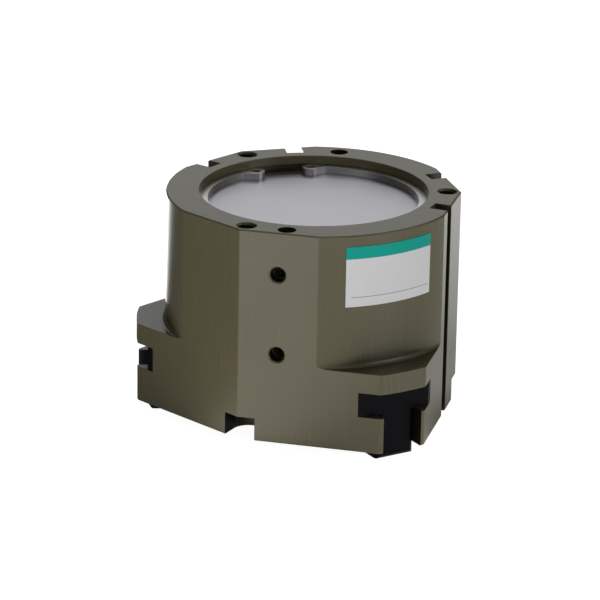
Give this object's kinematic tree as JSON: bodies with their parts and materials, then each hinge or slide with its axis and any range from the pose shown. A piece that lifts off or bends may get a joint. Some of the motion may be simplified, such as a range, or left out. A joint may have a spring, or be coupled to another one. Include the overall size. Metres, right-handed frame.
{
  "type": "three jaw centric gripper",
  "caption": "Pneumatic gripper with a round housing on jaw bosses; a piston and wedge cam draw the radial jaws in T-slots together or apart.",
  "frame": {"origin": "centre of the mounting face, on the gripper's axis", "axes": "+Z along the axis, out of the mounting face towards the robot; the jaws point down; +X through the mounting corner between jaws a and c; +Y away from the two air ports' side"},
  "size_m": [0.0898, 0.091, 0.0632],
  "materials": {
    "hard_anodised_housing": "satin, fine brushed lines along the axis",
    "machined_cover": "satin",
    "spring_steel": "satin",
    "black_jaw_steel": "black oxide, satin",
    "ground_cam_steel": "ground",
    "piston_alloy": "turned",
    "seal_rubber": "matte",
    "magnet": "matte",
    "wear_resin": "matte",
    "black_screw_steel": "black oxide",
    "label_film": "white film with a teal band, no words"
  },
  "bodies": {
    "housing": {"housing": "hard_anodised_housing", "head_cover": "machined_cover", "cover_seal": "seal_rubber", "retaining_ring": "spring_steel", "upper_cushion": "seal_rubber", "lower_cushion": "seal_rubber", "rod_packing": "seal_rubber", "packing_retainer": "spring_steel", "bottom_cover": "ground_cam_steel", "bottom_cover_screws": "black_screw_steel", "label": "label_film"},
    "piston": {"piston": "piston_alloy", "piston_packing": "seal_rubber", "piston_magnet": "magnet", "wear_ring": "wear_resin", "wedge_cam_rod": "ground_cam_steel", "rod_gasket": "seal_rubber", "piston_bolt": "black_screw_steel"},
    "jaw_a": {"master_jaw_a": "black_jaw_steel"},
    "jaw_b": {"master_jaw_b": "black_jaw_steel"},
    "jaw_c": {"master_jaw_c": "black_jaw_steel"}
  },
  "joints": [
    {"name": "piston_slide", "type": "slide", "parent": "housing", "child": "piston", "axis": [0, 0, -1], "range_m": [0, 0.009]},
    {"name": "jaw_a_slide", "type": "slide", "parent": "housing", "child": "jaw_a", "axis": [0.5, -0.866, 0], "range_m": [0, 0.004]},
    {"name": "jaw_b_slide", "type": "slide", "parent": "housing", "child": "jaw_b", "axis": [-1, 0, 0], "range_m": [0, 0.004]},
    {"name": "jaw_c_slide", "type": "slide", "parent": "housing", "child": "jaw_c", "axis": [0.5, 0.866, 0], "range_m": [0, 0.004]}
  ],
  "couplings": [
    {"joint": "jaw_a_slide", "follows": "piston_slide", "ratio": 0.44444},
    {"joint": "jaw_b_slide", "follows": "piston_slide", "ratio": 0.44444},
    {"joint": "jaw_c_slide", "follows": "piston_slide", "ratio": 0.44444}
  ]
}
